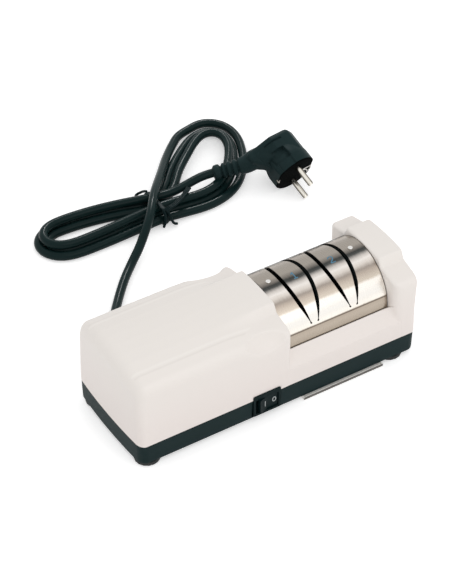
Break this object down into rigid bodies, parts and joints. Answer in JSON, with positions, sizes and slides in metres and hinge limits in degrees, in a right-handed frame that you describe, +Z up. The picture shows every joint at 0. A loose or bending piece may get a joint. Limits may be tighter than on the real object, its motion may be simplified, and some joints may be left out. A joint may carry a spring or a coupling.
{
  "type": "electric knife sharpener",
  "caption": "Table-top electric knife sharpener: white motor housing, slotted steel cover over grinding discs, dark base with switch, filings tray and tied mains cord with plug.",
  "frame": {"origin": "middle of the body's plan, on the surface that its feet stand on", "axes": "+X along the body from the motor end to the sharpening end, +Y to the back where the cord leaves, +Z up"},
  "size_m": [0.2928, 0.3371, 0.0866],
  "materials": {
    "white_plastic": "satin moulded, warm off-white",
    "black_plastic": "fine moulded texture",
    "stainless": "bright, brushed along the slots",
    "guide_plastic": "plain",
    "magnet": "nickel plated",
    "bright_steel": "polished",
    "rubber": "matt",
    "dark_plastic": "satin",
    "cast_alloy": "as cast",
    "lamination": "varnished sheet steel",
    "copper": "enamelled wire",
    "abrasive": "coated with fine grit",
    "block_plastic": "plain",
    "cord_plastic": "smooth flexible sheath",
    "brown_lead": "plain",
    "blue_lead": "plain"
  },
  "bodies": {
    "sharpener": {"bay_cover": "stainless", "bearing_cap_1": "black_plastic", "bearing_cap_2": "black_plastic", "blade_guide": "guide_plastic", "body_screw_front_left": "bright_steel", "body_screw_front_right": "bright_steel", "body_screw_rear_left": "bright_steel", "body_screw_rear_right": "bright_steel", "cord_gland": "cord_plastic", "cord_hank": "cord_plastic", "cord_lead": "cord_plastic", "cord_tail": "cord_plastic", "cord_tie": "dark_plastic", "cover_screw_1": "bright_steel", "cover_screw_2": "bright_steel", "earth_contact_left": "bright_steel", "earth_contact_right": "bright_steel", "end_bell_left": "cast_alloy", "end_bell_right": "cast_alloy", "guide_magnet_1_left": "magnet", "guide_magnet_1_right": "magnet", "guide_magnet_2_left": "magnet", "guide_magnet_2_right": "magnet", "lead_block_to_motor": "blue_lead", "lead_live": "brown_lead", "lead_neutral": "blue_lead", "lead_switch_to_motor": "brown_lead", "lead_to_switch": "brown_lead", "lower_base": "black_plastic", "motor_bearing_left": "bright_steel", "motor_bearing_right": "bright_steel", "plug_body": "cord_plastic", "plug_pin_lower": "bright_steel", "plug_pin_upper": "bright_steel", "rubber_foot_front_left": "rubber", "rubber_foot_front_right": "rubber", "rubber_foot_rear_left": "rubber", "rubber_foot_rear_right": "rubber", "spindle_bearing_1": "bright_steel", "spindle_bearing_2": "bright_steel", "stator_core": "lamination", "switch_body": "dark_plastic", "terminal_block": "block_plastic", "upper_housing": "white_plastic", "winding_left": "copper", "winding_right": "copper"},
    "rotor": {"cooling_fan": "dark_plastic", "grinding_disc_1_left": "abrasive", "grinding_disc_1_right": "abrasive", "grinding_disc_2_left": "abrasive", "grinding_disc_2_right": "abrasive", "motor_shaft": "bright_steel", "rotor_core": "lamination", "shaft_coupling": "dark_plastic", "spindle": "bright_steel", "spindle_spacer_1": "cast_alloy", "spindle_spacer_2": "cast_alloy", "spindle_spacer_3": "cast_alloy"},
    "rocker": {"switch_rocker": "dark_plastic"},
    "tray": {"filings_tray": "stainless"}
  },
  "joints": [
    {"name": "rotor_spin", "type": "hinge", "parent": "sharpener", "child": "rotor", "pos_m": [0, 0, 0.041], "axis": [1, 0, 0], "continuous": true},
    {"name": "rocker_pivot", "type": "hinge", "parent": "sharpener", "child": "rocker", "pos_m": [-0.0138, -0.0409, 0.01465], "axis": [0, 0, 1], "range_deg": [-20, 0]},
    {"name": "tray_slide", "type": "slide", "parent": "sharpener", "child": "tray", "axis": [0, -1, 0], "range_m": [0, 0.06]}
  ]
}
